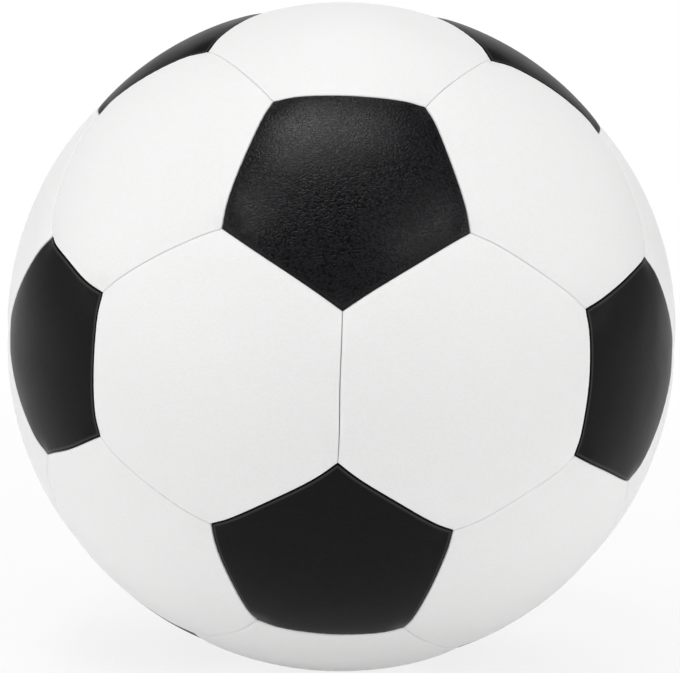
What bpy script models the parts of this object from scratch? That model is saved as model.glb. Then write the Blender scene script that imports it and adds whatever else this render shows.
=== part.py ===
"""Foam soccer ball: a foam core in a sewn cover of twelve black pentagons and twenty white hexagons.

The cover is a truncated icosahedron swollen to a ball. Each panel is foam-backed leathercloth, domed in its
middle, rolled over at its edge and turned in along the seam. A thread between the turned-in edges holds each
panel to its neighbours, and the turned-in edges lie in channels in the foam core.

Units are metres and +Z is up. The origin is the ball's centre. The front faces -Y, and an upright seam
between two white panels crosses the middle of it.
"""

import math

import bmesh
import bpy
from mathutils import Matrix, Vector

# Driving dimensions
BALL_DIAMETER = 0.220  # over the crowns of two opposite panels
PANEL_THICKNESS = 0.003  # leathercloth and its foam backing, in the middle of a panel
SEAM_DEPTH = 0.0022  # from the crown down to the line where two panels meet
CROWN_REACH = 0.018  # from the seam to where a panel has risen to its full height
EDGE_ROLL = 0.001  # width of the tight roll beside the seam
SHOULDER = 0.004  # width of the softer round above the roll
SEAM_ALLOWANCE = 0.005  # depth of the turned-in edge below the seam
FLANGE_THICKNESS = 0.002  # the turned-in edge, where its foam is squeezed
THREAD_DIAMETER = 0.0008
SEAM_GAP = 0.0004  # clearance between two neighbouring panels
FIT_GAP = 0.0004  # clearance round the thread and between the cover and the core

CROWN_POWER = 6  # how sharply the crown falls away towards its seam
SIDE_SEGMENTS = 3  # straight pieces along one side of a panel
SMOOTH_ANGLE = math.radians(40)  # faces that meet at less than this are shaded as one
ORDER_DIGITS = 3  # panels this alike in height or bearing count as level

BALL_RADIUS = BALL_DIAMETER / 2
SEAM_RADIUS = BALL_RADIUS - SEAM_DEPTH
FLANGE_TIP_RADIUS = SEAM_RADIUS - SEAM_ALLOWANCE
THREAD_RADIUS = (SEAM_RADIUS + FLANGE_TIP_RADIUS) / 2
PANEL_EDGE = SEAM_GAP / 2
FLANGE_BACK = PANEL_EDGE + FLANGE_THICKNESS

# Colour, roughness and metallic value of each material
FINISHES = {
    "black_leathercloth": ((0.020, 0.020, 0.022), 0.50, 0.0),
    "white_leathercloth": ((0.84, 0.84, 0.83), 0.45, 0.0),
    "foam": ((0.80, 0.74, 0.58), 0.90, 0.0),
    "polyester_thread": ((0.70, 0.70, 0.68), 0.70, 0.0),
}


def make_materials():
    """Makes one Principled material for each finish."""
    materials = {}
    for name, (colour, roughness, metallic) in FINISHES.items():
        material = bpy.data.materials.new(name)
        material.use_nodes = True
        shader = material.node_tree.nodes["Principled BSDF"]
        shader.inputs["Base Color"].default_value = (*colour, 1.0)
        shader.inputs["Roughness"].default_value = roughness
        shader.inputs["Metallic"].default_value = metallic
        material.diffuse_color = (*colour, 1.0)
        materials[name] = material
    return materials


def make_mesh(name, bm, material):
    """Turns a bmesh into a smooth-shaded mesh with one material."""
    bmesh.ops.recalc_face_normals(bm, faces=bm.faces[:])
    mesh = bpy.data.meshes.new(name)
    bm.to_mesh(mesh)
    bm.free()
    mesh.materials.append(material)
    mesh.shade_smooth()
    mesh.set_sharp_from_angle(angle=SMOOTH_ANGLE)
    return mesh


def add_part(name, mesh, ball_centre):
    """Adds an object with a mesh, as a child of the ball's centre."""
    part = bpy.data.objects.new(name, mesh)
    part.parent = ball_centre
    ball_centre.users_collection[0].objects.link(part)
    return part


def panel_layout():
    """Truncated icosahedron with its corners one unit from the middle and its sides divided.

    Cutting a third off every corner of an icosahedron leaves the twelve pentagons and twenty hexagons. It is
    turned from standing on a corner to having a side between two hexagons upright in the middle of -Y.
    """
    layout = bmesh.new()
    bmesh.ops.create_icosphere(layout, subdivisions=1, radius=1)
    third = 100 / 3
    bmesh.ops.bevel(
        layout, geom=layout.verts[:], offset=third, offset_type="PERCENT",
        segments=1, profile=0.5, affect="VERTICES",
    )
    half_side_angle = math.atan(2 / (1 + math.sqrt(5)))
    tilt = Matrix.Rotation(math.pi / 2 - half_side_angle, 3, "X")
    turn = Matrix.Rotation(-math.pi / 2, 3, "Z")
    bmesh.ops.rotate(layout, verts=layout.verts[:], cent=(0, 0, 0), matrix=tilt @ turn)
    for vert in layout.verts:
        vert.co.normalize()
    bmesh.ops.subdivide_edges(layout, edges=layout.edges[:], cuts=SIDE_SEGMENTS - 1)
    return layout


def top_down_order(face):
    """Sorts panels from the top down, and round each level from the front."""
    middle = face.calc_center_median()
    bearing = math.atan2(middle.x, -middle.y)
    return round(-middle.z, ORDER_DIGITS), round(bearing, ORDER_DIGITS)


def outward_turn(face):
    """Turn that takes a panel from facing +Z, with a corner towards +X, to where its face lies."""
    middle = face.calc_center_median()
    corner = max(face.verts, key=lambda vert: (vert.co - middle).length).co
    outward = middle.normalized()
    sideways = outward.cross(corner).normalized()
    return Matrix((sideways.cross(outward), sideways, outward)).transposed()


def ring(outline, inset, radius):
    """Moves a panel's outline in from its seams and lays it on a sphere."""
    middle = sum(outline, Vector()) / len(outline)
    seam_normal = outline[0].cross(outline[1]).normalized()
    seam_to_middle = abs(middle.dot(seam_normal))
    points = []
    for point in outline:
        share = inset * point.length / (radius * seam_to_middle)
        points.append(point.lerp(middle, share).normalized() * radius)
    return points


def crown_radius(inset):
    """Height of a panel's outer skin at a distance from its seam."""
    fall = max(0.0, 1 - inset / CROWN_REACH) ** CROWN_POWER
    return BALL_RADIUS - SEAM_DEPTH * fall


def extrude_rings(bm, face, outline, section):
    """Extrudes a face through the rings of a section and gives back the last face.

    A face that stands alone stays behind as the back of the new solid.
    """
    for inset, radius in section:
        grown = bmesh.ops.extrude_face_region(bm, geom=[face, *face.edges])["geom"]
        face = next(item for item in grown if isinstance(item, bmesh.types.BMFace))
        for vert, point in zip(face.verts, ring(outline, inset, radius)):
            vert.co = point
    return face


def close_to_point(bm, face, radius):
    """Fans a face up to a point over its middle."""
    towards = face.calc_center_median().normalized()
    tip = bmesh.ops.poke(bm, faces=[face])["verts"][0]
    tip.co = towards * radius


def make_panel(outline):
    """One panel of the cover: underside, turned-in edge with its thread channel, rolled edge and crown.

    It faces +Z, and its origin is at the top of its crown.
    """
    underside = (FLANGE_BACK, crown_radius(FLANGE_BACK) - PANEL_THICKNESS)
    section = [
        (FLANGE_BACK, FLANGE_TIP_RADIUS),
        (PANEL_EDGE, FLANGE_TIP_RADIUS),
        (THREAD_DIAMETER / 2 + FIT_GAP, THREAD_RADIUS),
        (PANEL_EDGE, SEAM_RADIUS),
        (EDGE_ROLL, crown_radius(EDGE_ROLL)),
        (SHOULDER, crown_radius(SHOULDER)),
        (CROWN_REACH, BALL_RADIUS),
    ]
    bm = bmesh.new()
    back = bm.faces.new([bm.verts.new(point) for point in ring(outline, *underside)])
    crown = extrude_rings(bm, back, outline, section)
    close_to_point(bm, crown, BALL_RADIUS)
    close_to_point(bm, back, BALL_RADIUS - PANEL_THICKNESS)
    bmesh.ops.translate(bm, verts=bm.verts[:], vec=(0, 0, -BALL_RADIUS))
    return bm


def lay_on_sphere(layout, radius):
    """Copies the layout onto a sphere, and gives its faces with their outlines as they were."""
    bm = layout.copy()
    panels = [(face, [vert.co.copy() for vert in face.verts]) for face in bm.faces]
    for vert in bm.verts:
        vert.co = vert.co.normalized() * radius
    return bm, panels


def make_core(layout):
    """The foam core: one raised pad under each panel, and a channel under each seam."""
    channel_floor = FLANGE_TIP_RADIUS - FIT_GAP
    channel_wall = FLANGE_BACK + FIT_GAP
    section = [
        (channel_wall, channel_floor),
        (channel_wall, crown_radius(FLANGE_BACK) - PANEL_THICKNESS - FIT_GAP),
    ]
    bm, panels = lay_on_sphere(layout, channel_floor)
    for face, outline in panels:
        pad = extrude_rings(bm, face, outline, section)
        close_to_point(bm, pad, BALL_RADIUS - PANEL_THICKNESS - FIT_GAP)
    return bm


def make_thread(layout):
    """The thread, one net along all the seams.

    Its outer half is a narrow border round every panel, and its inner half is a copy of that, turned inwards
    and welded to it along both sides.
    """
    half = THREAD_DIAMETER / 2
    bm, panels = lay_on_sphere(layout, THREAD_RADIUS + half)
    outer_ridge = bm.verts[:]
    holes = [extrude_rings(bm, face, outline, [(half, THREAD_RADIUS)]) for face, outline in panels]
    sides = [vert for hole in holes for vert in hole.verts]
    bmesh.ops.delete(bm, geom=holes, context="FACES_ONLY")
    inner = bmesh.ops.duplicate(bm, geom=[*bm.verts, *bm.edges, *bm.faces])["vert_map"]
    for vert in outer_ridge:
        inner[vert].co = vert.co.normalized() * (THREAD_RADIUS - half)
    bmesh.ops.weld_verts(bm, targetmap={inner[vert]: vert for vert in sides})
    return bm


def add_panels(layout, materials, ball_centre):
    """Adds the panels of the cover: one mesh for each kind, placed on every face of its shape."""
    kinds = {5 * SIDE_SEGMENTS: "black_pentagon", 6 * SIDE_SEGMENTS: "white_hexagon"}
    skins = {"black_pentagon": "black_leathercloth", "white_hexagon": "white_leathercloth"}
    meshes = {}
    counts = dict.fromkeys(skins, 0)
    for face in sorted(layout.faces, key=top_down_order):
        kind = kinds[len(face.verts)]
        turn = outward_turn(face)
        if kind not in meshes:
            outline = [turn.transposed() @ vert.co for vert in face.verts]
            meshes[kind] = make_mesh(kind, make_panel(outline), materials[skins[kind]])
        counts[kind] += 1
        panel = add_part(f"{kind}_{counts[kind]:02d}", meshes[kind], ball_centre)
        panel.location = turn.col[2] * BALL_RADIUS
        panel.rotation_euler = turn.to_euler()


def main():
    """Builds the ball."""
    for old in list(bpy.data.objects):
        bpy.data.objects.remove(old, do_unlink=True)
    ball = bpy.data.collections.new("foam_soccer_ball")
    bpy.context.scene.collection.children.link(ball)
    ball_centre = bpy.data.objects.new("ball_centre", None)
    ball.objects.link(ball_centre)

    materials = make_materials()
    layout = panel_layout()
    add_part("foam_core", make_mesh("foam_core", make_core(layout), materials["foam"]), ball_centre)
    thread = make_mesh("seam_thread", make_thread(layout), materials["polyester_thread"])
    add_part("seam_thread", thread, ball_centre)
    add_panels(layout, materials, ball_centre)
    layout.free()


main()
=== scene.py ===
"""Looks of a foam soccer ball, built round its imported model.

The cover is sewn from twelve black five-sided and twenty white six-sided panels of padded leathercloth.
Each panel starts as a flat blank, which is drawn over the ball, rolled over at its seams and turned in.
A foam core fills the cover, and a twisted thread holds the turned-in edges together.
"""

import logging
import math
from collections.abc import Callable
from dataclasses import dataclass, field
from enum import Enum
from functools import partial

import bpy
import numpy as np
from mathutils import Euler, Matrix, Vector

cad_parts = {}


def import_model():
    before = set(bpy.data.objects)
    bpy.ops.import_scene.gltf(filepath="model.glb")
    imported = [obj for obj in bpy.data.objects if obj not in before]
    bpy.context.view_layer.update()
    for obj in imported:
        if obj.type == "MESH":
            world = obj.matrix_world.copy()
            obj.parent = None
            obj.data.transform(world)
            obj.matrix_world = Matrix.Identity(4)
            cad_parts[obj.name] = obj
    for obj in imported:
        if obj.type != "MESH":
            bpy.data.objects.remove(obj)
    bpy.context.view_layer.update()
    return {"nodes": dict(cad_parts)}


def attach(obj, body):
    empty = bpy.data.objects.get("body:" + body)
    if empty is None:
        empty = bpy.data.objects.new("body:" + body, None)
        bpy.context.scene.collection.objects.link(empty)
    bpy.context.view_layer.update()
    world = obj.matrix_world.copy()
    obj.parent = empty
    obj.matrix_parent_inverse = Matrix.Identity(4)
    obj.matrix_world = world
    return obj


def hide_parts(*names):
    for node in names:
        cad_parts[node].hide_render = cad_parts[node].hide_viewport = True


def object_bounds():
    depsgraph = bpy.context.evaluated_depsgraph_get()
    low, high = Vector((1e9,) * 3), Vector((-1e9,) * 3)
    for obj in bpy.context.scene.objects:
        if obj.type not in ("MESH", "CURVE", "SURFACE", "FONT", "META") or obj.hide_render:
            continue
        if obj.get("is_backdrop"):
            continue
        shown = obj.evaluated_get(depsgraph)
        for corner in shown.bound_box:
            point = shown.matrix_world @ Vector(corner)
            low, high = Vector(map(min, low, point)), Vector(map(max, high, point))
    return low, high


LOG = logging.getLogger("foam_soccer_ball")

MM = 0.001
BODY = "root"
SEED = 32

# Places of a Mix node's colour sockets, which share their names with its number and vector sockets.
MIX_FIRST = 6
MIX_SECOND = 7
MIX_RESULT = 2

# What adds a node to one tree: add_node with its tree already given.
NodeAdder = Callable[..., bpy.types.Node]

# Middle of the values that a noise gives.
NOISE_MIDDLE = 0.5

# Slack, in shares of a side, that puts a vertex between two sides of a blank on the later one.
SIDE_SLACK = 1e-5

# Attribute of a panel's vertices: up to 1 where a highlight is painted on the rolled edge, and down to -1
# where shade is painted in the seam.
PAINTED_EDGE_LIGHT = "painted_edge_light"

# The photograph's own size in pixels, which the camera's framing is worked out from.
PHOTO_WIDTH = 680
PHOTO_HEIGHT = 673

# Places in the photograph where three seams meet, in pixels across and down. The seams are drawn through
# them. They lie up to 1.6 mm off the even pattern where they face the camera, and up to 6.2 mm off it at
# the rim.
TOP_PANEL_CORNERS = ((342.5, 311.0), (471.3, 232.2), (426.0, 105.6), (272.8, 100.0), (221.0, 227.8))
FOOT_PANEL_CORNERS = ((337.7, 463.9), (454.6, 531.8), (404.6, 630.1), (256.3, 622.4), (209.7, 525.1))
LEFT_PANEL_CORNERS = ((50.7, 235.5), (101.2, 292.5), (98.9, 437.2), (45.4, 455.5))
RIGHT_PANEL_CORNERS = ((646.7, 256.1), (587.5, 309.1), (575.8, 456.4), (630.6, 481.6))
UPPER_RIM_CORNERS = ((206.8, 50.2), (492.3, 58.8), (98.1, 114.6), (274.0, 10.5), (600.1, 133.6))
LOWER_RIM_CORNERS = ((188.0, 630.0), (468.0, 651.0))
SEEN_CORNERS = (
    *TOP_PANEL_CORNERS,
    *FOOT_PANEL_CORNERS,
    *LEFT_PANEL_CORNERS,
    *RIGHT_PANEL_CORNERS,
    *UPPER_RIM_CORNERS,
    *LOWER_RIM_CORNERS,
)

# The seam between these two corners is the one that the photograph shows standing open.
OPEN_SEAM_CORNERS = (TOP_PANEL_CORNERS[0], FOOT_PANEL_CORNERS[0])


class PanelKind(Enum):
    """Kinds of panel that the cover is sewn from, by the start of their nodes' names."""

    BLACK_PENTAGON = "black_pentagon"
    WHITE_HEXAGON = "white_hexagon"

    @property
    def sides(self) -> int:
        """Number of seams round a panel of this kind."""
        return 5 if self is PanelKind.BLACK_PENTAGON else 6

    @property
    def slot(self) -> str:
        """Material slot of the record that this kind takes its finish from."""
        return "black_leathercloth" if self is PanelKind.BLACK_PENTAGON else "white_leathercloth"


def linear_colour(code: str) -> tuple[float, float, float, float]:
    """Turns an sRGB colour into the linear one that the shaders take.

    Args:
        code: Colour as "#RRGGBB".

    Returns:
        Linear red, green and blue, and an alpha of 1.
    """
    shares = [int(code[place:place + 2], 16) / 255 for place in (1, 3, 5)]
    linear = [share / 12.92 if share <= 0.04045 else ((share + 0.055) / 1.055) ** 2.4 for share in shares]
    return (linear[0], linear[1], linear[2], 1.0)


def add_node(
    tree: bpy.types.NodeTree, kind: str, inputs: dict | None = None, **settings: object
) -> bpy.types.Node:
    """Adds a node with its settings and links.

    Args:
        tree: Node tree that gets the node.
        kind: Blender's name for the type of node.
        inputs: Value or linked socket for each input, by the input's name or place.
        settings: Values for the node's own properties.

    Returns:
        The new node.
    """
    node = tree.nodes.new(kind)
    for name, value in settings.items():
        setattr(node, name, value)
    for name, value in (inputs or {}).items():
        if isinstance(value, bpy.types.NodeSocket):
            tree.links.new(value, node.inputs[name])
        else:
            node.inputs[name].default_value = value
    return node


def start_material(name: str) -> tuple[bpy.types.Material, NodeAdder, bpy.types.NodeSocket]:
    """Starts a node material that holds nothing but its Object coordinates.

    Args:
        name: Name of the real material and its surface.

    Returns:
        The new material, what adds a node to it, and the socket of its Object coordinates.
    """
    material = bpy.data.materials.new(name)
    material.use_nodes = True
    material.node_tree.nodes.clear()
    add = partial(add_node, material.node_tree)
    return material, add, add("ShaderNodeTexCoord").outputs["Object"]


def unit(vectors: np.ndarray) -> np.ndarray:
    """Scales vectors to a length of one.

    Args:
        vectors: One vector, or one in each row.

    Returns:
        The scaled vectors, in the same shape.
    """
    return vectors / np.linalg.norm(vectors, axis=-1, keepdims=True)


def heading(azimuth: float, elevation: float) -> Vector:
    """Turns two angles into a direction from the ball's centre.

    Args:
        azimuth: Angle round the upright axis from the front, in radians.
        elevation: Angle above the level, in radians.

    Returns:
        Vector of length one.
    """
    level = math.cos(elevation)
    return Vector((math.sin(azimuth) * level, -math.cos(azimuth) * level, math.sin(elevation)))


def seam_fall(distances: np.ndarray, rise: float, reach: float) -> np.ndarray:
    """Lets a padded face fall away towards its seams, and further at their corners.

    Args:
        distances: Distance from each seam, in metres, with a row for each place.
        rise: Height of the face over its seams, in metres.
        reach: Distance over which it rises, in metres.

    Returns:
        Depth below the top of the face, in metres.
    """
    return rise * np.sqrt(np.exp(-2 * distances / reach).sum(1))


def vertex_places(piece: bpy.types.Object) -> np.ndarray:
    """Reads the places of a mesh's vertices.

    Args:
        piece: Mesh object at the origin.

    Returns:
        One place in each row, in metres.
    """
    places = np.empty(len(piece.data.vertices) * 3, np.float32)
    piece.data.vertices.foreach_get("co", places)
    return places.reshape(-1, 3).astype(float)


def move_vertices(piece: bpy.types.Object, places: np.ndarray) -> None:
    """Moves every vertex of a mesh.

    Args:
        piece: Mesh object at the origin.
        places: New place of each vertex, one in each row, in metres.
    """
    piece.data.vertices.foreach_set("co", places.astype(np.float32).ravel())
    piece.data.update()


def select_only(*pieces: bpy.types.Object) -> None:
    """Selects some objects alone, with the first one active.

    Args:
        pieces: Objects to select.
    """
    bpy.ops.object.select_all(action="DESELECT")
    for piece in pieces:
        piece.select_set(True)
    bpy.context.view_layer.objects.active = pieces[0]


def copy_blank(blank: bpy.types.Object, name: str) -> bpy.types.Object:
    """Copies a blank, with a mesh of the copy's own.

    Args:
        blank: Object that is copied.
        name: Name of the copy and its mesh.

    Returns:
        The copy.
    """
    select_only(blank)
    bpy.ops.object.duplicate(linked=False)
    copy = bpy.context.active_object
    copy.name = name
    copy.data.name = name
    return copy


@dataclass(frozen=True)
class Leathercloth:
    """Polyurethane leathercloth: a knitted backing with a thin skin, embossed with a fine leather grain.

    The eye sees a soft even colour with a low sheen, and the grain only where light falls across it.
    """

    name: str
    colour: str
    crease_shade_colour: str
    # Colours of the painted highlight on the rolled edge and of the painted shade in the seam.
    rim_highlight_colour: str
    seam_shade_colour: str
    roughness: float
    roughness_spread: float
    specular: float
    grain_depth: float
    grain_width: float = 0.56 * MM
    grain_stretch: float = 0.75
    grain_turn: float = math.radians(8)
    grain_waver: float = 0.3
    crease_share: float = 0.12
    fibre_width: float = 0.35 * MM
    fibre_share: float = 0.1
    patch_width: float = 14 * MM
    patch_spread: float = 0.2

    def material(self) -> bpy.types.Material:
        """Builds the finish.

        Returns:
            Material that reads Object coordinates.
        """
        material, add, place = start_material(self.name)
        # The pebbles and creases of the grain are the highs and lows of a noise, drawn longer one way.
        turned = add(
            "ShaderNodeMapping",
            {"Vector": place, "Rotation": (0, self.grain_turn, 0), "Scale": (self.grain_stretch, 1, 1)},
        )
        hide = add(
            "ShaderNodeTexNoise",
            {
                "Vector": turned.outputs[0],
                "Scale": 1 / self.grain_width,
                "Detail": 0.0,
                "Distortion": self.grain_waver,
            },
        )
        pebble = add(
            "ShaderNodeMapRange",
            {
                "Value": hide.outputs["Fac"],
                "From Min": NOISE_MIDDLE - self.crease_share,
                "From Max": NOISE_MIDDLE + self.crease_share,
            },
            interpolation_type="SMOOTHSTEP",
        ).outputs["Result"]
        fibre = add(
            "ShaderNodeTexNoise",
            {"Vector": place, "Scale": 1 / self.fibre_width, "Detail": 2.0, "Roughness": 0.6},
        )
        height = add(
            "ShaderNodeMath",
            {0: fibre.outputs["Fac"], 1: self.fibre_share, 2: pebble},
            operation="MULTIPLY_ADD",
        )
        grain = add(
            "ShaderNodeBump",
            {"Strength": 1.0, "Distance": self.grain_depth, "Height": height.outputs[0]},
        )
        # Painted highlight: the skin is painted paler on the rolled edge. Painted shade: it is painted dark
        # in the seam.
        edge = add("ShaderNodeAttribute", attribute_name=PAINTED_EDGE_LIGHT).outputs["Fac"]
        shade = add("ShaderNodeMath", {0: edge, 1: -1.0}, operation="MULTIPLY").outputs[0]
        # Painted shade in the grain's creases; on the fine-grained black, painted glints on its pebbles
        # too.
        layers = ((pebble, self.colour), (edge, self.rim_highlight_colour), (shade, self.seam_shade_colour))
        skin = linear_colour(self.crease_shade_colour)
        for share, colour in layers:
            mixed = add(
                "ShaderNodeMix",
                {"Factor": share, MIX_FIRST: skin, MIX_SECOND: linear_colour(colour)},
                data_type="RGBA",
            )
            skin = mixed.outputs[MIX_RESULT]
        # Handling leaves patches a little smoother than the rest.
        patches = add(
            "ShaderNodeTexNoise",
            {"Vector": place, "Scale": 1 / self.patch_width, "Detail": 3.0},
        )
        sheen = add(
            "ShaderNodeMapRange",
            {
                "Value": patches.outputs["Fac"],
                "From Min": NOISE_MIDDLE - self.patch_spread,
                "From Max": NOISE_MIDDLE + self.patch_spread,
                "To Min": self.roughness - self.roughness_spread,
                "To Max": self.roughness + self.roughness_spread,
            },
        )
        shader = add(
            "ShaderNodeBsdfPrincipled",
            {
                "Base Color": skin,
                "Roughness": sheen.outputs["Result"],
                "Normal": grain.outputs["Normal"],
                "IOR": 1.5,
                "Specular IOR Level": self.specular,
            },
        )
        add("ShaderNodeOutputMaterial", {"Surface": shader.outputs["BSDF"]})
        return material


@dataclass(frozen=True)
class CellFoam:
    """Open-cell polyurethane foam: a dull cream cut face that is pitted all over with small cells."""

    name: str = "polyurethane_foam_open_cell"
    colour: str = "#E6DDC4"
    pit_shade_colour: str = "#B9AA86"
    cell_width: float = 0.9 * MM
    pit_depth: float = 0.25 * MM
    roughness: float = 0.92

    def material(self) -> bpy.types.Material:
        """Builds the finish.

        Returns:
            Material that reads Object coordinates.
        """
        material, add, place = start_material(self.name)
        cells = add(
            "ShaderNodeTexVoronoi",
            {"Vector": place, "Scale": 1 / self.cell_width},
            feature="SMOOTH_F1",
        )
        pits = add(
            "ShaderNodeBump",
            {"Strength": 1.0, "Distance": self.pit_depth, "Height": cells.outputs["Distance"]},
        )
        # Painted shade: the pits of the cells are painted darker than the cut face.
        tint = add(
            "ShaderNodeMix",
            {
                "Factor": cells.outputs["Distance"],
                MIX_FIRST: linear_colour(self.pit_shade_colour),
                MIX_SECOND: linear_colour(self.colour),
            },
            data_type="RGBA",
        )
        shader = add(
            "ShaderNodeBsdfPrincipled",
            {
                "Base Color": tint.outputs[MIX_RESULT],
                "Roughness": self.roughness,
                "Normal": pits.outputs["Normal"],
                "IOR": 1.5,
                "Specular IOR Level": 0.2,
            },
        )
        add("ShaderNodeOutputMaterial", {"Surface": shader.outputs["BSDF"]})
        return material


@dataclass(frozen=True)
class TwistedThread:
    """Bonded polyester sewing thread: pale filaments with a slight silky sheen."""

    name: str = "polyester_thread_bonded"
    colour: str = "#DEDCD4"
    shade_colour: str = "#B9B6AB"
    filament_width: float = 0.12 * MM
    filament_depth: float = 0.02 * MM
    roughness: float = 0.55
    sheen: float = 0.2

    def material(self) -> bpy.types.Material:
        """Builds the finish.

        Returns:
            Material that reads Object coordinates.
        """
        material, add, place = start_material(self.name)
        filaments = add(
            "ShaderNodeTexNoise",
            {"Vector": place, "Scale": 1 / self.filament_width, "Detail": 2.0},
        )
        fuzz = add(
            "ShaderNodeBump",
            {"Strength": 1.0, "Distance": self.filament_depth, "Height": filaments.outputs["Fac"]},
        )
        tint = add(
            "ShaderNodeMix",
            {
                "Factor": filaments.outputs["Fac"],
                MIX_FIRST: linear_colour(self.shade_colour),
                MIX_SECOND: linear_colour(self.colour),
            },
            data_type="RGBA",
        )
        shader = add(
            "ShaderNodeBsdfPrincipled",
            {
                "Base Color": tint.outputs[MIX_RESULT],
                "Roughness": self.roughness,
                "Normal": fuzz.outputs["Normal"],
                "IOR": 1.57,
                "Sheen Weight": self.sheen,
            },
        )
        add("ShaderNodeOutputMaterial", {"Surface": shader.outputs["BSDF"]})
        return material


@dataclass(frozen=True)
class StudioPaper:
    """White background paper, which stays white to the eye of the camera and keeps a soft shadow."""

    name: str = "white_background_paper"
    colour: str = "#FCFCFC"
    tooth_width: float = 0.6 * MM
    tooth_depth: float = 0.02 * MM
    near_glow: float = 0.83
    near: float = 0.15
    far: float = 0.7

    def material(self) -> bpy.types.Material:
        """Builds the finish.

        Returns:
            Material that reads Object coordinates.
        """
        material, add, place = start_material(self.name)
        tooth = add("ShaderNodeTexNoise", {"Vector": place, "Scale": 1 / self.tooth_width})
        bump = add("ShaderNodeBump", {"Distance": self.tooth_depth, "Height": tooth.outputs["Fac"]})
        paper = add(
            "ShaderNodeBsdfDiffuse",
            {"Color": linear_colour(self.colour), "Normal": bump.outputs["Normal"]},
        )
        white = add("ShaderNodeEmission", {"Strength": 1.0})
        # Away from the ball the paper turns as white as what lies behind it, so that no edge shows.
        distance = add("ShaderNodeVectorMath", {0: place}, operation="LENGTH")
        glow = add(
            "ShaderNodeMapRange",
            {
                "Value": distance.outputs["Value"],
                "From Min": self.near,
                "From Max": self.far,
                "To Min": self.near_glow,
                "To Max": 1.0,
            },
            interpolation_type="SMOOTHSTEP",
        )
        share = add(
            "ShaderNodeMath",
            {0: seen_rays(add), 1: glow.outputs["Result"]},
            operation="MULTIPLY",
        )
        both = add("ShaderNodeMixShader", {0: share.outputs[0], 1: paper.outputs[0], 2: white.outputs[0]})
        add("ShaderNodeOutputMaterial", {"Surface": both.outputs[0]})
        return material


def seen_rays(add: NodeAdder) -> bpy.types.NodeSocket:
    """Adds the test for rays that show the background as it looks: camera, glossy and transmission rays.

    Args:
        add: What adds a node to the tree that gets the test.

    Returns:
        Socket that is 1 for those rays and 0 for the rest.
    """
    path = add("ShaderNodeLightPath").outputs
    mirrored = add(
        "ShaderNodeMath",
        {0: path["Is Glossy Ray"], 1: path["Is Transmission Ray"]},
        operation="MAXIMUM",
    )
    seen = add("ShaderNodeMath", {0: path["Is Camera Ray"], 1: mirrored.outputs[0]}, operation="MAXIMUM")
    return seen.outputs[0]


@dataclass
class PhotoCamera:
    """Camera that took the photograph, fitted to the corners of its seams."""

    ball_radius: float
    azimuth: float = math.radians(-0.04)
    elevation: float = math.radians(8.13)
    roll: float = math.radians(-2.11)
    distance_in_radii: float = 6.634
    focal_px: float = 2199.6
    centre_px: tuple[float, float] = (341.3, 336.0)
    sensor_width_mm: float = 36.0
    clip_in_radii: float = 400.0

    def back(self) -> Vector:
        """Direction from the ball's centre to the camera."""
        return heading(self.azimuth, self.elevation)

    def place(self) -> Vector:
        """Place of the camera, in metres."""
        return self.back() * self.ball_radius * self.distance_in_radii

    def axes(self) -> Matrix:
        """Works out how the camera is turned.

        Returns:
            Matrix whose columns point to the camera's right, up and back.
        """
        back = self.back()
        level_right = Vector((0, 0, 1)).cross(back).normalized()
        level_up = back.cross(level_right)
        up = level_up * math.cos(self.roll) + level_right * math.sin(self.roll)
        right = up.cross(back)
        return Matrix((right, up, back)).transposed()

    def direction_at(self, pixel: tuple[float, float], radius: float) -> np.ndarray:
        """Finds what a pixel of the photograph shows on a sphere round the ball's centre.

        A pixel outside the sphere's outline gives the place of the outline that lies nearest to it.

        Args:
            pixel: Place across and down the photograph.
            radius: The sphere's radius, in metres.

        Returns:
            Direction of that place from the ball's centre.
        """
        across = (pixel[0] - self.centre_px[0]) / self.focal_px
        upward = (self.centre_px[1] - pixel[1]) / self.focal_px
        ray = (self.axes() @ Vector((across, upward, -1))).normalized()
        start = self.place()
        half = start.dot(ray)
        reach = -half - math.sqrt(max(half ** 2 - start.length_squared + radius ** 2, 0))
        return np.array((start + ray * reach).normalized())

    def add(self) -> bpy.types.Object:
        """Adds the camera and makes it the scene's own.

        Returns:
            The camera.
        """
        bpy.ops.object.camera_add(location=self.place(), rotation=self.axes().to_euler())
        camera = bpy.context.active_object
        camera.name = "photo_camera"
        lens = camera.data
        lens.sensor_width = self.sensor_width_mm
        lens.lens = self.sensor_width_mm * self.focal_px / PHOTO_WIDTH
        lens.shift_x = (PHOTO_WIDTH / 2 - self.centre_px[0]) / PHOTO_WIDTH
        lens.shift_y = (self.centre_px[1] - PHOTO_HEIGHT / 2) / PHOTO_WIDTH
        lens.clip_start = self.ball_radius
        lens.clip_end = self.ball_radius * self.clip_in_radii
        bpy.context.scene.camera = camera
        return camera


@dataclass
class PanelCut:
    """One panel of the cover: the node it stands for and the corners of its seams."""

    node: str
    kind: PanelKind
    corners: tuple[int, ...]


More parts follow.
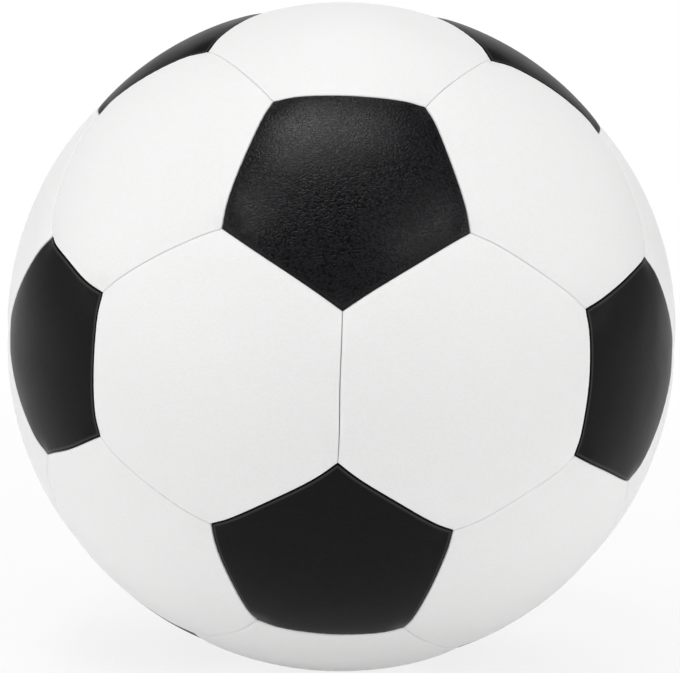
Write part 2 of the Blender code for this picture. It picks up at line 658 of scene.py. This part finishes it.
@dataclass
class SeamPlan:
    """Plan of the seams on the ball, as a round ball of 32 panels is cut, with the waver of real sewing."""

    nodes: dict[str, bpy.types.Object]
    first_turn: float = math.radians(-90)
    second_turn: float = math.pi / 2 - math.atan(2 / (1 + math.sqrt(5)))
    corner_cut_percent: float = 100 / 3
    waver: float = 0.22 * MM
    bow_waves: int = 3
    unseen_corner_pull: float = 0.5 * MM
    corners: np.ndarray = field(init=False)
    panels: list[PanelCut] = field(init=False)
    grained_node: str = field(init=False)
    open_seam: tuple[int, int] = field(init=False)
    seams: list[tuple[int, int]] = field(init=False)
    bows: dict[tuple[int, int], np.ndarray] = field(init=False)

    def lay_out(self, camera: PhotoCamera, seam_radius: float) -> None:
        """Lays out the panels, finds their nodes, and pulls the corners to where the photograph has them.

        Args:
            camera: Camera that took the photograph.
            seam_radius: Distance of the seams' corners from the ball's centre, in metres.
        """
        draw = np.random.default_rng(SEED)
        self._cut_corners()
        even = self.corners.copy()
        pulls = draw.normal(0, self.unseen_corner_pull / seam_radius, self.corners.shape)
        self.corners = unit(self.corners + pulls)
        for pixel in SEEN_CORNERS:
            seen = camera.direction_at(pixel, seam_radius)
            self.corners[int(np.argmax(even @ seen))] = seen
        open_ends = [camera.direction_at(pixel, seam_radius) for pixel in OPEN_SEAM_CORNERS]
        self.open_seam = self._key(*(int(np.argmax(even @ end)) for end in open_ends))
        top_middle = camera.direction_at(tuple(np.mean(TOP_PANEL_CORNERS, axis=0)), seam_radius)
        self.grained_node = self._nearest_node(PanelKind.BLACK_PENTAGON, top_middle)
        self.seams = sorted({self._key(*ends) for panel in self.panels for ends in self.sides(panel)})
        spread = self.waver / seam_radius
        self.bows = {seam: draw.normal(0, spread, self.bow_waves) / self._orders() for seam in self.seams}

    def _orders(self) -> np.ndarray:
        """Number of half waves along a seam in each part of its bow."""
        return np.arange(1, self.bow_waves + 1)

    def _cut_corners(self) -> None:
        """Cuts the corners off a twenty-sided solid and reads the panels from its faces."""
        bpy.ops.object.select_all(action="DESELECT")
        bpy.ops.mesh.primitive_ico_sphere_add(subdivisions=1, radius=1, rotation=(0, 0, self.first_turn))
        solid = bpy.context.active_object
        bpy.ops.object.transform_apply(rotation=True)
        solid.rotation_euler = Euler((self.second_turn, 0, 0))
        bpy.ops.object.transform_apply(rotation=True)
        bpy.ops.object.mode_set(mode="EDIT")
        bpy.ops.mesh.select_all(action="SELECT")
        bpy.ops.mesh.bevel(offset_type="PERCENT", offset_pct=self.corner_cut_percent, affect="VERTICES")
        bpy.ops.object.mode_set(mode="OBJECT")
        self.corners = unit(vertex_places(solid))
        self.panels = []
        for face in solid.data.polygons:
            kind = next(kind for kind in PanelKind if kind.sides == len(face.vertices))
            node = self._nearest_node(kind, np.array(face.center))
            self.panels.append(PanelCut(node, kind, tuple(face.vertices)))
        self.panels.sort(key=lambda panel: panel.node)
        bpy.data.objects.remove(solid)

    def _nearest_node(self, kind: PanelKind, direction: np.ndarray) -> str:
        """Finds the node that lies furthest along a direction.

        Args:
            kind: Kind of panel that the node is.
            direction: Direction from the ball's centre.

        Returns:
            The node's name.
        """
        named = [name for name in self.nodes if name.startswith(kind.value)]
        return max(named, key=lambda name: float(vertex_places(self.nodes[name]).mean(0) @ direction))

    @staticmethod
    def _key(start: int, end: int) -> tuple[int, int]:
        """Name of the seam between two corners, whichever way it is walked."""
        return (min(start, end), max(start, end))

    @staticmethod
    def sides(panel: PanelCut) -> list[tuple[int, int]]:
        """Pairs of corners that a panel's seams run between, in order."""
        return list(zip(panel.corners, panel.corners[1:] + panel.corners[:1]))

    def is_open(self, start: int, end: int) -> bool:
        """Tells whether the seam between two corners is the open one."""
        return self._key(start, end) == self.open_seam

    def middle(self, panel: PanelCut) -> np.ndarray:
        """Direction of the middle of a panel."""
        return unit(self.corners[list(panel.corners)].mean(0))

    def inward(self, start: int, end: int) -> np.ndarray:
        """Direction that lies square to a seam and points into the panel that walks it this way."""
        return unit(np.cross(self.corners[start], self.corners[end]))

    def inwards(self, panel: PanelCut) -> np.ndarray:
        """Directions square to each of a panel's seams that point into it, one in each row."""
        return np.array([self.inward(*ends) for ends in self.sides(panel)])

    def line(self, start: int, end: int, along: np.ndarray) -> np.ndarray:
        """Walks a seam from one corner to the other.

        Args:
            start: Corner that the walk starts from.
            end: Corner that it ends at.
            along: Shares of the way, from 0 to 1.

        Returns:
            Direction of each place from the ball's centre, one in each row.
        """
        low, high = self._key(start, end)
        share = (along if start == low else 1 - along)[:, None]
        straight = unit(self.corners[low] * (1 - share) + self.corners[high] * share)
        waves = np.sin(math.pi * share * self._orders()) @ self.bows[(low, high)]
        return unit(straight + waves[:, None] * self.inward(low, high))


@dataclass
class PanelBlank:
    """Flat blank of a panel: a grid of faces from its middle to its sides, and a skirt to turn in."""

    sides: int
    rows: int
    skirts: int
    closed: bool
    piece: bpy.types.Object = field(init=False)
    side: np.ndarray = field(init=False)
    along: np.ndarray = field(init=False)
    station: np.ndarray = field(init=False)

    def cut(self) -> None:
        """Cuts the blank and notes where each of its vertices belongs."""
        bpy.ops.object.select_all(action="DESELECT")
        bpy.ops.mesh.primitive_circle_add(vertices=self.sides, radius=1, fill_type="TRIFAN")
        self.piece = bpy.context.active_object
        bpy.ops.object.mode_set(mode="EDIT")
        bpy.ops.mesh.select_all(action="SELECT")
        bpy.ops.mesh.subdivide(number_cuts=self.rows - 1)
        bpy.ops.mesh.select_mode(type="EDGE")
        bpy.ops.mesh.select_all(action="DESELECT")
        bpy.ops.mesh.select_non_manifold()
        for _ in range(self.skirts):
            bpy.ops.mesh.extrude_edges_move(TRANSFORM_OT_translate={"value": (0, 0, -1)})
        if self.closed:
            bpy.ops.mesh.edge_face_add()
            bpy.ops.mesh.select_mode(type="FACE")
            bpy.ops.mesh.poke()
        bpy.ops.object.mode_set(mode="OBJECT")
        bpy.ops.object.shade_smooth()
        self._note_places()

    def _note_places(self) -> None:
        """Notes each vertex's side, share of the way along it, and station from the rim to the middle.

        Stations 0 to rows run from the rim to the middle of the face. The skirt's follow on from there, and
        the middle of the underside comes last.
        """
        across, up, height = vertex_places(self.piece).T
        step = 2 * math.pi / self.sides
        angle = np.mod(np.arctan2(-across, up), 2 * math.pi)
        self.side = np.minimum((angle / step + SIDE_SLACK).astype(int), self.sides - 1)
        lean = angle - (self.side + 0.5) * step
        ring = np.rint(np.hypot(across, up) * np.cos(lean) / math.cos(step / 2) * self.rows).astype(int)
        share = 0.5 + np.tan(np.clip(lean, -step / 2, step / 2)) / (2 * math.tan(step / 2))
        self.along = np.where(ring > 0, np.rint(share * ring) / np.maximum(ring, 1), 0.5)
        skirt = np.rint(-height).astype(int)
        self.station = np.where(skirt == 0, self.rows - ring, self.rows + skirt)
        self.station[(skirt > 0) & (ring == 0)] = self.rows + self.skirts + 1

    def directions(self, plan: SeamPlan, panel: PanelCut, share: np.ndarray) -> np.ndarray:
        """Draws the blank's vertices over one of the ball's panels.

        Args:
            plan: Plan of the seams.
            panel: Panel that the blank is drawn over.
            share: Each vertex's share of the way from its seam to the panel's middle.

        Returns:
            Direction of each vertex from the ball's centre, one in each row.
        """
        outline = np.empty((len(self.station), 3))
        for place, ends in enumerate(plan.sides(panel)):
            chosen = self.side == place
            outline[chosen] = plan.line(*ends, self.along[chosen])
        share = share[:, None]
        return unit(outline * (1 - share) + plan.middle(panel) * share)

    def discard(self) -> None:
        """Removes the blank once its copies are made."""
        bpy.data.objects.remove(self.piece)


@dataclass
class PaddedCover:
    """Cover of the ball: 32 padded panels, whose edges roll over into the seams and are turned in."""

    plan: SeamPlan
    ball_radius: float
    tip_radius: float
    thread_radius: float
    half_gap: float = 0.02 * MM
    roll_radius: float = 0.55 * MM
    roll_turn: float = math.radians(60)
    # Place and width of the painted highlight on the rolled edge, and width of the painted shade in the
    # seam.
    rim_highlight_place: float = 0.85 * MM
    rim_highlight_width: float = 0.27 * MM
    shade_width: float = 0.45 * MM
    corner_rise: float = 0.8 * MM
    corner_reach: float = 4.5 * MM
    open_gap: float = 0.08 * MM
    open_reach: float = 2.0 * MM
    open_bluntness: float = 0.5
    shoulder_rise: float = 0.12 * MM
    shoulder_reach: float = 1.2 * MM
    crown_rise: float = 0.6 * MM
    crown_reach: float = 11 * MM
    thickness: float = 3.0 * MM
    flange_thickness: float = 2.0 * MM
    wall_depth: float = 0.8 * MM
    thread_room: float = 0.6 * MM
    stitch_pitch: float = 3.2 * MM
    stitch_width: float = 0.8 * MM
    stitch_dip: float = 0.10 * MM
    stitch_reach: float = 1.8 * MM
    stitch_stray: float = 0.12
    stitch_tightness: tuple[float, float] = (0.4, 1.0)
    seam_tightness: tuple[float, float] = (0.3, 1.0)
    seam_length_in_radii: float = 0.4
    lump_height: float = 0.05 * MM
    lump_width: float = 16 * MM
    lump_waves: int = 6
    lump_rates: tuple[float, float] = (0.7, 1.4)
    puff_spread: float = 0.25
    roll_rows: int = 14
    crown_rows: int = 50
    row_crowding: float = 1.3
    flange_stations: int = 7
    underside_rings: int = 3
    smooth_angle: float = math.radians(70)
    fill: float = 0.95
    # In each finish the rim colour is a painted highlight on the rolled edge, and the seam colour is
    # painted shade.
    black: Leathercloth = Leathercloth(
        name="black_pu_leathercloth_smooth",
        colour="#1B1B1C",
        crease_shade_colour="#19191A",
        rim_highlight_colour="#424243",
        seam_shade_colour="#020202",
        roughness=0.34,
        roughness_spread=0.03,
        specular=0.04,
        grain_depth=0.012 * MM,
    )
    # Its pebbles are painted lighter and a little blue: painted glints in the tint of its sheen.
    grained_black: Leathercloth = Leathercloth(
        name="black_pu_leathercloth_fine_grain",
        colour="#151519",
        crease_shade_colour="#030303",
        rim_highlight_colour="#1C1C1E",
        seam_shade_colour="#030303",
        roughness=0.29,
        roughness_spread=0.03,
        specular=0.21,
        grain_depth=0.06 * MM,
    )
    white: Leathercloth = Leathercloth(
        name="white_pu_leathercloth_fine_grain",
        colour="#F0F0F0",
        crease_shade_colour="#EEEEED",
        rim_highlight_colour="#F0F0F0",
        seam_shade_colour="#EEEEEE",
        roughness=0.4,
        roughness_spread=0.04,
        specular=0.1,
        grain_depth=0.01 * MM,
    )
    pieces: list[bpy.types.Object] = field(init=False)

    @property
    def roll_height(self) -> float:
        """Depth that the rolled edge takes up."""
        return self.roll_radius * math.sin(self.roll_turn)

    @property
    def seam_radius(self) -> float:
        """Distance of the seams' foot from the ball's centre."""
        return self.ball_radius - self.roll_height - self.shoulder_rise - self.crown_rise

    def build(self) -> None:
        """Cuts one blank of each kind and draws its copies over the ball."""
        draw = np.random.default_rng(SEED + 1)
        rows = self.roll_rows + self.crown_rows
        skirts = self.flange_stations + self.underside_rings
        blanks = {kind: PanelBlank(kind.sides, rows, skirts, closed=True) for kind in PanelKind}
        for blank in blanks.values():
            blank.cut()
        self.pieces = []
        for panel in self.plan.panels:
            piece = copy_blank(blanks[panel.kind].piece, f"padded_{panel.node}")
            places, insets = self._drawn(panel, blanks[panel.kind], draw)
            move_vertices(piece, places)
            tone = piece.data.attributes.new(PAINTED_EDGE_LIGHT, "FLOAT", "POINT")
            tone.data.foreach_set("value", self._painted_edge_light(insets))
            bpy.ops.object.shade_smooth_by_angle(angle=self.smooth_angle)
            self.pieces.append(piece)
        for blank in blanks.values():
            blank.discard()

    def _stations(self, apothem: float) -> tuple[np.ndarray, np.ndarray, np.ndarray]:
        """Works out the panel's section, from the rim over the crown to the middle, then down the skirt.

        Args:
            apothem: Distance from a seam to the panel's middle, in metres.

        Returns:
            Each station's distance from the seam, its depth, and whether that depth is under the crown (1)
            or under the round of the ball (0).
        """
        turn = np.linspace(0, self.roll_turn, self.roll_rows + 1)
        roll_inset = self.half_gap + self.roll_radius * (1 - np.cos(turn))
        roll_depth = self.roll_height - self.roll_radius * np.sin(turn)
        steps = np.linspace(0, 1, self.crown_rows + 1)[1:] ** self.row_crowding
        crown_inset = roll_inset[-1] + (apothem - roll_inset[-1]) * steps
        back = self.half_gap + self.flange_thickness
        under = back + (apothem - back) * np.linspace(0, 1, self.underside_rings + 2)[1:]
        channel = self.ball_radius - self.thread_radius
        tip = self.ball_radius - self.tip_radius
        skirt = [
            (self.half_gap, self.roll_height + self.wall_depth, 1),
            (self.half_gap, channel - self.thread_room, 0),
            (self.thread_room, channel, 0),
            (self.half_gap, channel + self.thread_room, 0),
            (self.half_gap, tip, 0),
            (back, tip, 0),
            (back, self.thickness, 1),
            *((inset, self.thickness, 1) for inset in under),
        ]
        insets, depths, follows = np.array(skirt).T
        return (
            np.concatenate((roll_inset, crown_inset, insets)),
            np.concatenate((roll_depth, np.zeros(self.crown_rows), depths)),
            np.concatenate((np.ones(self.roll_rows + self.crown_rows + 1), follows)),
        )

    def _painted_edge_light(self, insets: np.ndarray) -> np.ndarray:
        """Tells where a highlight is painted on a panel's rolled edge and where shade is painted in its
        seam.

        Args:
            insets: Distance of each place from its seam, in metres.

        Returns:
            Up to 1 for the painted highlight, and down to -1 for the painted shade in the seam.
        """
        rim_highlight = np.exp(-((insets - self.rim_highlight_place) / self.rim_highlight_width) ** 2)
        return rim_highlight - np.exp(-(insets / self.shade_width) ** 2)

    def _drawn(
        self, panel: PanelCut, blank: PanelBlank, draw: np.random.Generator
    ) -> tuple[np.ndarray, np.ndarray]:
        """Draws a blank over the ball as one of its panels.

        Args:
            panel: Panel that the blank becomes.
            blank: Blank of its kind.
            draw: Source of the panel's small irregularities.

        Returns:
            Place of each vertex, one in each row, and its distance from its seam, in metres.
        """
        inward = self.plan.inwards(panel)
        apothem = self.ball_radius * float(np.arcsin(inward @ self.plan.middle(panel)).mean())
        insets, depths, follows = self._stations(apothem)
        inset = insets[blank.station]
        stitches = np.empty(len(blank.station))
        for place, ends in enumerate(self.plan.sides(panel)):
            chosen = blank.side == place
            stitches[chosen] = self._stitch_dips(blank.along[chosen], draw)
            if self.plan.is_open(*ends):
                inset[chosen] += self._opening(blank.along[chosen], inset[chosen])
        direction = blank.directions(self.plan, panel, inset / apothem)
        distances = self.ball_radius * np.clip(direction @ inward.T, 0, None)
        puff = 1 + self.puff_spread * draw.uniform(-1, 1)
        crown = seam_fall(distances, self.crown_rise * puff, self.crown_reach)
        crown += seam_fall(distances, self.shoulder_rise, self.shoulder_reach)
        crown += stitches * np.exp(-inset / self.stitch_reach)
        crown += self._corner_dip(direction, self.plan.corners[list(panel.corners)])
        crown += self._lumps(direction, distances.min(1), draw)
        depth = depths[blank.station] + crown * follows[blank.station]
        return direction * (self.ball_radius - depth)[:, None], inset

    def _opening(self, along: np.ndarray, inset: np.ndarray) -> np.ndarray:
        """Draws the edges of the open seam apart, most at its middle.

        Args:
            along: Shares of the way along the seam.
            inset: Distance of each place from the seam, in metres.

        Returns:
            How far each place is drawn back, in metres.
        """
        shape = np.sin(math.pi * along) ** self.open_bluntness
        return self.open_gap * shape * np.exp(-inset / self.open_reach)

    def _corner_dip(self, direction: np.ndarray, corners: np.ndarray) -> np.ndarray:
        """Pulls a panel in where three seams meet.

        Args:
            direction: Direction of each place from the ball's centre.
            corners: Direction of each of the panel's corners.

        Returns:
            Depth of the pull at each place, in metres.
        """
        apart = self.ball_radius * np.linalg.norm(direction[:, None] - corners, axis=2).min(1)
        return self.corner_rise * np.exp(-(apart / self.corner_reach) ** 2)

    def _stitch_dips(self, along: np.ndarray, draw: np.random.Generator) -> np.ndarray:
        """Pulls the edge of a panel in at each stitch.

        Args:
            along: Shares of the way along the seam.
            draw: Source of each stitch's own tightness.

        Returns:
            Depth of the pull at each place, in metres.
        """
        length = self.seam_length_in_radii * self.ball_radius
        count = round(length / self.stitch_pitch)
        tightness = draw.uniform(*self.seam_tightness) * draw.uniform(*self.stitch_tightness, count)
        stray = draw.uniform(-self.stitch_stray, self.stitch_stray, count)
        centres = (np.arange(count) + 0.5 + stray) / count
        apart = (along[:, None] - centres) * length / self.stitch_width
        return self.stitch_dip * (np.exp(-apart ** 2) @ tightness)

    def _lumps(self, direction: np.ndarray, distance: np.ndarray, draw: np.random.Generator) -> np.ndarray:
        """Makes the padding slightly uneven.

        Args:
            direction: Direction of each place from the ball's centre.
            distance: Distance of each place from its nearest seam, in metres.
            draw: Source of the unevenness.

        Returns:
            Depth of the unevenness at each place, in metres.
        """
        waves = unit(draw.normal(size=(self.lump_waves, 3)))
        waves = waves * draw.uniform(*self.lump_rates, (self.lump_waves, 1))
        phases = draw.uniform(0, 2 * math.pi, self.lump_waves)
        rate = 2 * math.pi * self.ball_radius / self.lump_width
        heights = np.sin(direction @ waves.T * rate + phases).mean(1)
        return self.lump_height * heights * (1 - np.exp(-distance / self.shoulder_reach))

    def dress(self) -> None:
        """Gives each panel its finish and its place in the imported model."""
        black = self.black.material()
        grained_black = self.grained_black.material()
        white = self.white.material()
        for panel, piece in zip(self.plan.panels, self.pieces):
            piece.data.materials.clear()
            if panel.kind is PanelKind.WHITE_HEXAGON:
                piece.data.materials.append(white)
            elif panel.node == self.plan.grained_node:
                piece.data.materials.append(grained_black)
            else:
                piece.data.materials.append(black)
            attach(piece, BODY)
            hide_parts(panel.node)


@dataclass
class FoamCore:
    """Foam core: one cushion under each panel, with channels between them for the turned-in edges."""

    plan: SeamPlan
    top_radius: float
    floor_radius: float
    node: str = "foam_core"
    slot: str = "foam"
    wall_inset: float = 2.6 * MM
    edge_drop: float = 0.9 * MM
    edge_reach: float = 4.0 * MM
    rows: int = 16
    wall_stations: int = 2
    weld_distance: float = 0.01 * MM
    smooth_angle: float = math.radians(50)
    fill: float = 1.0
    finish: CellFoam = CellFoam()
    piece: bpy.types.Object = field(init=False)

    def build(self) -> None:
        """Draws a cushion under each panel and joins them into one core."""
        cushions = []
        blanks = {
            kind: PanelBlank(kind.sides, self.rows, self.wall_stations, closed=False) for kind in PanelKind
        }
        for blank in blanks.values():
            blank.cut()
        for panel in self.plan.panels:
            cushion = copy_blank(blanks[panel.kind].piece, f"cushion_under_{panel.node}")
            move_vertices(cushion, self._drawn(panel, blanks[panel.kind]))
            cushions.append(cushion)
        for blank in blanks.values():
            blank.discard()
        select_only(*cushions)
        bpy.ops.object.join()
        self.piece = bpy.context.active_object
        self.piece.name = "foam_core_cushioned"
        bpy.ops.object.mode_set(mode="EDIT")
        bpy.ops.mesh.select_all(action="SELECT")
        bpy.ops.mesh.remove_doubles(threshold=self.weld_distance)
        bpy.ops.mesh.normals_make_consistent(inside=False)
        bpy.ops.object.mode_set(mode="OBJECT")
        bpy.ops.object.shade_smooth_by_angle(angle=self.smooth_angle)

    def _drawn(self, panel: PanelCut, blank: PanelBlank) -> np.ndarray:
        """Draws a blank over the core as the cushion under a panel.

        Args:
            panel: Panel that lies over the cushion.
            blank: Blank of its kind.

        Returns:
            Place of each vertex, one in each row, in metres.
        """
        inward = self.plan.inwards(panel)
        apothem = self.top_radius * float(np.arcsin(inward @ self.plan.middle(panel)).mean())
        face = np.linspace(self.wall_inset, apothem, self.rows + 1)
        insets = np.concatenate((face, (self.wall_inset, 0)))
        direction = blank.directions(self.plan, panel, (insets / apothem)[blank.station])
        inside = np.clip(self.top_radius * direction @ inward.T - self.wall_inset, 0, None)
        domed = self.top_radius - seam_fall(inside, self.edge_drop, self.edge_reach)
        radius = np.where(blank.station > self.rows, self.floor_radius, domed)
        return direction * radius[:, None]

    def dress(self) -> None:
        """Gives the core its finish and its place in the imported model."""
        self.piece.data.materials.clear()
        self.piece.data.materials.append(self.finish.material())
        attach(self.piece, BODY)
        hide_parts(self.node)


@dataclass
class SeamThread:
    """Sewing thread: a three-ply cord that runs along every seam, between the turned-in edges."""

    plan: SeamPlan
    thread_radius: float
    node: str = "seam_thread"
    slot: str = "polyester_thread"
    diameter: float = 0.8 * MM
    plies: int = 3
    ply_swell: float = 0.14
    twist_pitch: float = 2.6 * MM
    section_points: int = 9
    steps: int = 36
    finish: TwistedThread = TwistedThread()
    piece: bpy.types.Object = field(init=False)

    def build(self) -> None:
        """Models one length of cord, lays a copy along each seam and joins them into one net."""
        bpy.ops.object.select_all(action="DESELECT")
        bpy.ops.mesh.primitive_circle_add(vertices=self.section_points, radius=1, fill_type="NGON")
        length = bpy.context.active_object
        bpy.ops.object.mode_set(mode="EDIT")
        bpy.ops.mesh.select_all(action="SELECT")
        for _ in range(self.steps):
            bpy.ops.mesh.extrude_region_move(TRANSFORM_OT_translate={"value": (0, 0, 1)})
        bpy.ops.mesh.select_all(action="SELECT")
        bpy.ops.mesh.normals_make_consistent(inside=False)
        bpy.ops.object.mode_set(mode="OBJECT")
        bpy.ops.object.shade_smooth()
        straight = vertex_places(length)
        cords = []
        for place, seam in enumerate(self.plan.seams):
            cord = copy_blank(length, f"cord_{place:02d}")
            move_vertices(cord, self._laid(straight, seam))
            cords.append(cord)
        bpy.data.objects.remove(length)
        select_only(*cords)
        bpy.ops.object.join()
        self.piece = bpy.context.active_object
        self.piece.name = "seam_thread_twisted"

    def _laid(self, straight: np.ndarray, seam: tuple[int, int]) -> np.ndarray:
        """Lays a straight length of cord along a seam.

        Args:
            straight: Vertices of the straight cord, one in each row, with its steps along Z.
            seam: Corners that the seam runs between.

        Returns:
            Place of each vertex, one in each row, in metres.
        """
        along = straight[:, 2] / self.steps
        direction = self.plan.line(*seam, along)
        aside = np.broadcast_to(self.plan.inward(*seam), direction.shape)
        corners = self.plan.corners[list(seam)]
        seam_length = self.thread_radius * math.acos(float(corners[0] @ corners[1]))
        angle = np.arctan2(straight[:, 1], straight[:, 0])
        twist = 2 * math.pi * along * seam_length / self.twist_pitch
        swell = 1 + self.ply_swell * np.cos(self.plies * angle)
        reach = (self.diameter / 2 * swell)[:, None]
        turned = (angle + twist)[:, None]
        centre = direction * self.thread_radius
        return centre + reach * (np.cos(turned) * direction + np.sin(turned) * aside)

    def dress(self) -> None:
        """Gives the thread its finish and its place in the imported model."""
        self.piece.data.materials.clear()
        self.piece.data.materials.append(self.finish.material())
        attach(self.piece, BODY)
        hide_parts(self.node)


@dataclass(frozen=True)
class SoftLamp:
    """Round soft lamp that is aimed at the ball, placed by its direction from there, in degrees."""

    name: str
    azimuth: float
    elevation: float
    width: float
    share: float
    distance: float = 1.8

    def hang(self) -> None:
        """Hangs the lamp at the power that lights a white facing it to its share of white."""
        toward = heading(math.radians(self.azimuth), math.radians(self.elevation))
        aim = (-toward).to_track_quat("-Z", "Y").to_euler()
        bpy.ops.object.light_add(type="AREA", location=toward * self.distance, rotation=aim)
        lamp = bpy.context.active_object
        lamp.name = self.name
        lamp.data.shape = "DISK"
        lamp.data.size = self.width
        lamp.data.energy = self.share * (math.pi * self.distance) ** 2


@dataclass
class Studio:
    """White studio: a sheet of background paper, light from all round and large soft lamps."""

    floor_height: float
    floor_width: float = 40.0
    surround: float = 0.305
    ceiling: float = 0.1
    ceiling_lean: float = math.radians(13)
    backdrop_top: float = math.radians(16)
    ceiling_edge: float = math.radians(30)
    room: float = 0.3
    sweep_full: float = math.radians(12)
    sweep_end: float = math.radians(40)
    lamps: tuple[SoftLamp, ...] = (
        SoftLamp("top_left_lamp", -60, 77, 0.55, 0.13),
        SoftLamp("top_front_lamp", -44, 68, 0.55, 0.12),
        SoftLamp("top_right_lamp", 15, 78, 0.55, 0.11),
        SoftLamp("upper_left_lamp", -45, 42, 0.45, 0.1),
        SoftLamp("upper_right_lamp", 46, 40, 0.45, 0.07),
        SoftLamp("front_right_lamp", 26, 34, 0.45, 0.06),
        SoftLamp("left_lamp", -52, 3, 0.8, 0.155),
        SoftLamp("right_lamp", 56, 3, 0.8, 0.12),
        SoftLamp("left_side_lamp", -85, 20, 0.8, 0.13),
        SoftLamp("right_side_lamp", 85, 20, 0.8, 0.16),
        SoftLamp("back_lamp", 180, 58, 0.8, 0.06),
    )
    paper: StudioPaper = StudioPaper()

    def build(self) -> None:
        """Lays the floor, lights the scene and sets how it is shown."""
        bpy.ops.object.select_all(action="DESELECT")
        bpy.ops.mesh.primitive_plane_add(size=self.floor_width, location=(0, 0, self.floor_height))
        floor = bpy.context.active_object
        floor.name = "background_paper"
        bpy.ops.object.transform_apply(location=True)
        floor.data.materials.append(self.paper.material())
        floor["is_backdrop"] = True
        self._light_all_round()
        for lamp in self.lamps:
            lamp.hang()
        bpy.context.scene.view_settings.view_transform = "Standard"

    def _light_all_round(self) -> None:
        """Lights the ball evenly, with a white backdrop and a grey room and ceiling for its reflections."""
        world = bpy.data.worlds.new("white_tent")
        world.use_nodes = True
        world.node_tree.nodes.clear()
        add = partial(add_node, world.node_tree)
        direction = add("ShaderNodeTexCoord").outputs["Generated"]
        up = (0, -math.sin(self.ceiling_lean), math.cos(self.ceiling_lean))
        height = add("ShaderNodeVectorMath", {0: direction, 1: up}, operation="DOT_PRODUCT")
        behind = add("ShaderNodeVectorMath", {0: direction, 1: (0, 1, 0)}, operation="DOT_PRODUCT")
        sweep = add(
            "ShaderNodeMapRange",
            {
                "Value": behind.outputs["Value"],
                "From Min": math.cos(self.sweep_end),
                "From Max": math.cos(self.sweep_full),
                "To Min": self.room,
                "To Max": 1.0,
            },
            interpolation_type="SMOOTHSTEP",
        )
        looks = add(
            "ShaderNodeMapRange",
            {
                "Value": height.outputs["Value"],
                "From Min": math.sin(self.backdrop_top),
                "From Max": math.sin(self.ceiling_edge),
                "To Min": sweep.outputs["Result"],
                "To Max": self.ceiling,
            },
            interpolation_type="SMOOTHSTEP",
        )
        strength = add(
            "ShaderNodeMapRange",
            {"Value": seen_rays(add), "To Min": self.surround, "To Max": looks.outputs["Result"]},
        )
        # The camera sees white on every side. Only reflections show the grey of the room.
        camera_ray = add("ShaderNodeLightPath").outputs["Is Camera Ray"]
        shown = add("ShaderNodeMath", {0: strength.outputs[0], 1: camera_ray}, operation="MAXIMUM")
        light = add("ShaderNodeBackground", {"Color": (1, 1, 1, 1), "Strength": shown.outputs[0]})
        add("ShaderNodeOutputWorld", {"Surface": light.outputs[0]})
        bpy.context.scene.world = world


def main() -> None:
    """Builds the ball's pieces in order, then the studio round them."""
    logging.basicConfig(level=logging.INFO, format="%(message)s")
    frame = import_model()
    nodes = frame["nodes"]
    reaches = {name: np.linalg.norm(vertex_places(node), axis=1) for name, node in nodes.items()}
    panel_names = [name for name in nodes if name.startswith(tuple(kind.value for kind in PanelKind))]
    ball_radius = float(max(reaches[name].max() for name in panel_names))
    tip_radius = float(min(reaches[name].min() for name in panel_names))
    thread_radius = float(reaches[SeamThread.node].max() + reaches[SeamThread.node].min()) / 2

    camera = PhotoCamera(ball_radius)
    camera.add()
    plan = SeamPlan(nodes)
    cover = PaddedCover(plan, ball_radius, tip_radius, thread_radius)
    plan.lay_out(camera, cover.seam_radius)
    cover.build()
    cover.dress()
    for piece in cover.pieces:
        LOG.info("panel %s: %d faces", piece.name, len(piece.data.polygons))
    core = FoamCore(plan, float(reaches[FoamCore.node].max()), float(reaches[FoamCore.node].min()))
    core.build()
    core.dress()
    LOG.info("core %s: %d faces", core.piece.name, len(core.piece.data.polygons))
    thread = SeamThread(plan, thread_radius)
    thread.build()
    thread.dress()
    LOG.info("thread %s: %d faces", thread.piece.name, len(thread.piece.data.polygons))

    shown_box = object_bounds()
    Studio(shown_box[0].z).build()


if __name__ == "__main__":
    main()
